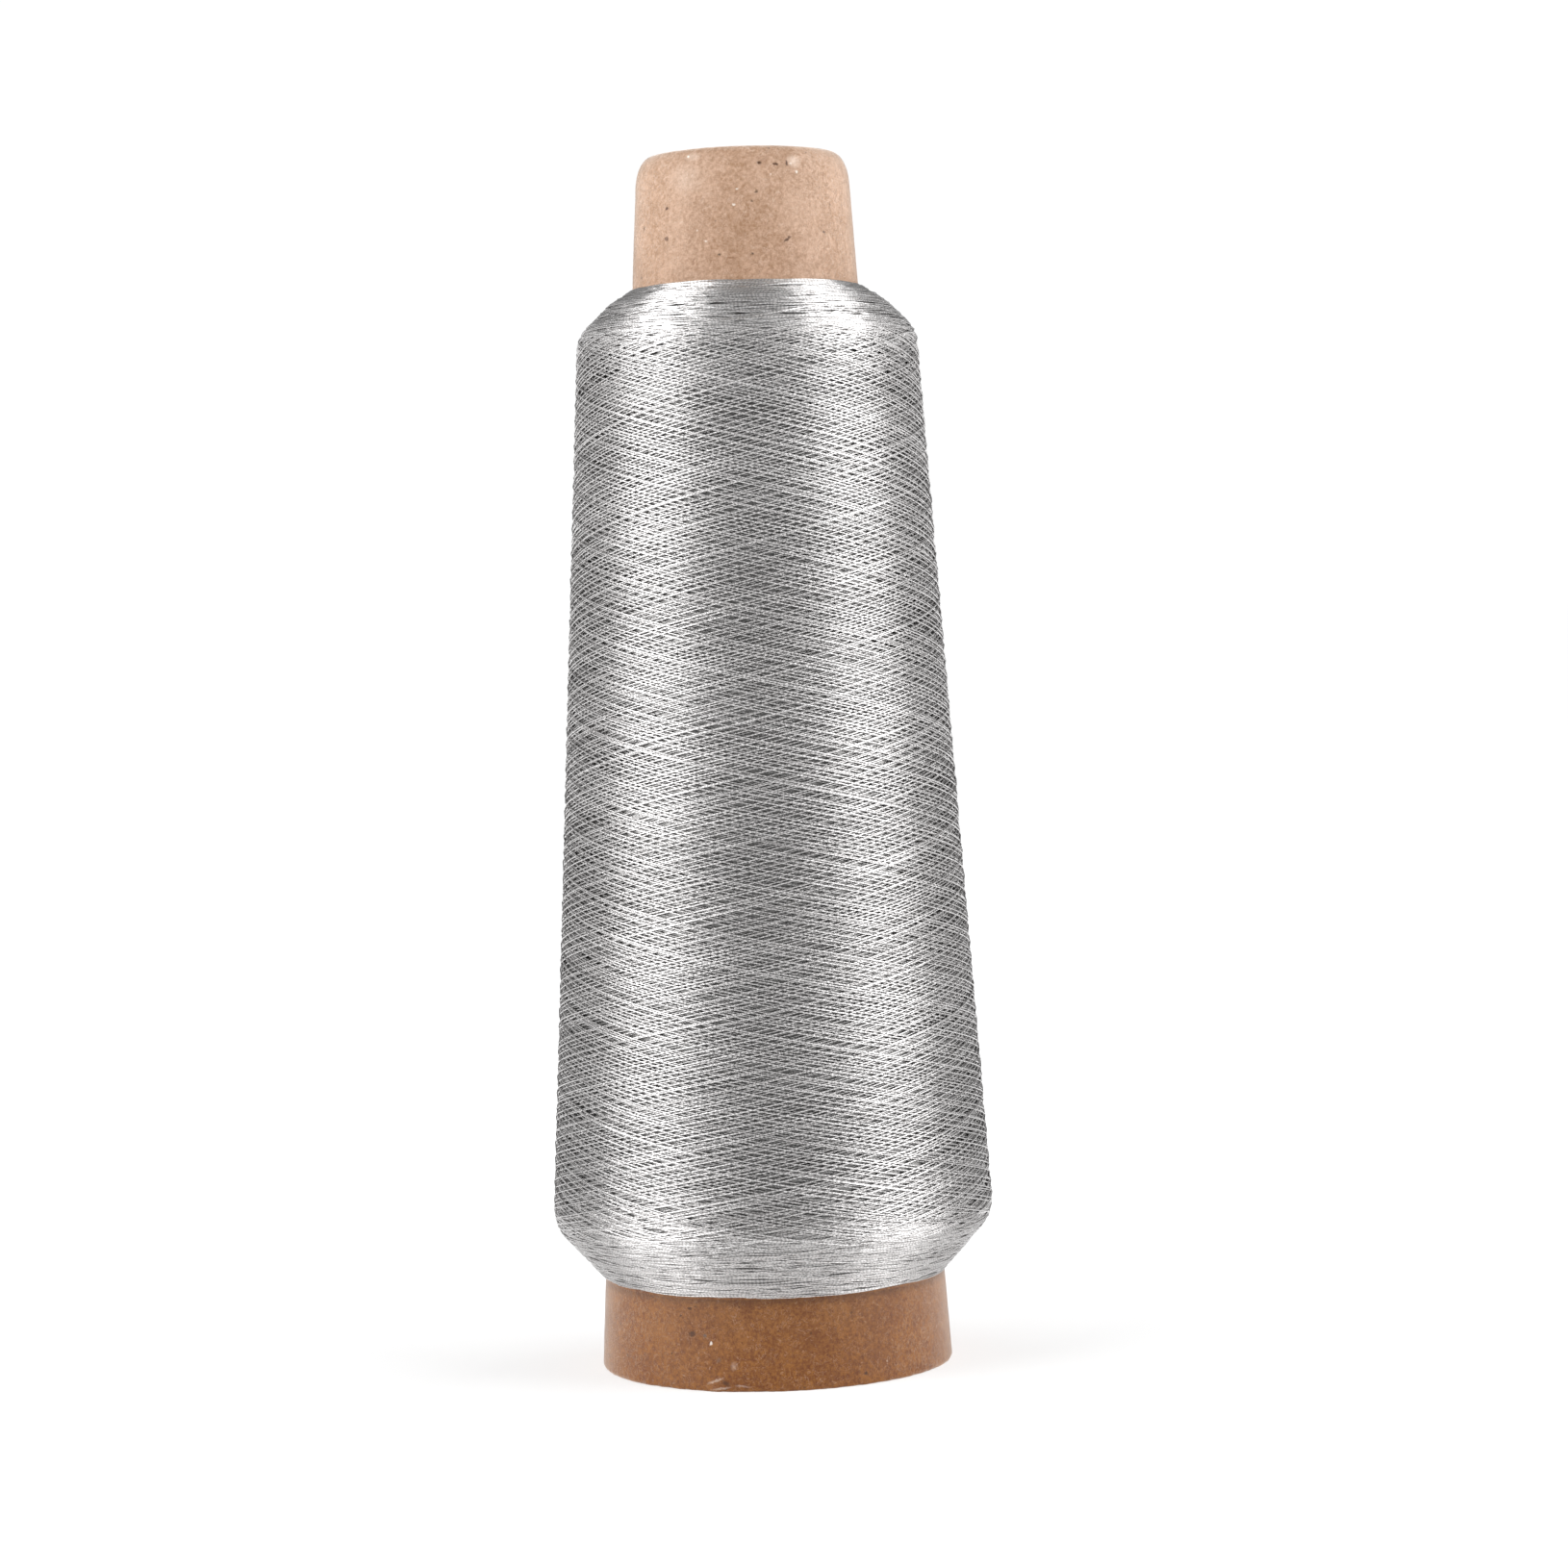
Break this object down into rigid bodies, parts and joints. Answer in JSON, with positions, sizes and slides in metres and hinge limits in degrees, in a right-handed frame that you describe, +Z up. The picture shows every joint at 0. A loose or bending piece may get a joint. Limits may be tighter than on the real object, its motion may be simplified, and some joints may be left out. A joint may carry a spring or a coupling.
{
  "type": "thread cone",
  "caption": "Tall rolled paper cone with a sleeve of cross-wound silver metallic thread, open from base to nose.",
  "frame": {"origin": "centre of the cone's base, on the surface it stands on", "axes": "+Z up along the cone's axis, from the wide base to the narrow nose"},
  "size_m": [0.0696, 0.0696, 0.19],
  "materials": {
    "kraft_face": "smooth calendered kraft paper with visible fibres",
    "grey_board": "rolled board, matt, cut edge shows its plies",
    "kraft_liner": "rough matt kraft paper",
    "metallic_thread": "bright silver film-wrapped thread, cross-wound"
  },
  "bodies": {
    "root": {"cone_face_ply": "kraft_face", "cone_board_plies": "grey_board", "cone_liner_ply": "kraft_liner", "thread_winding": "metallic_thread"}
  },
  "joints": []
}
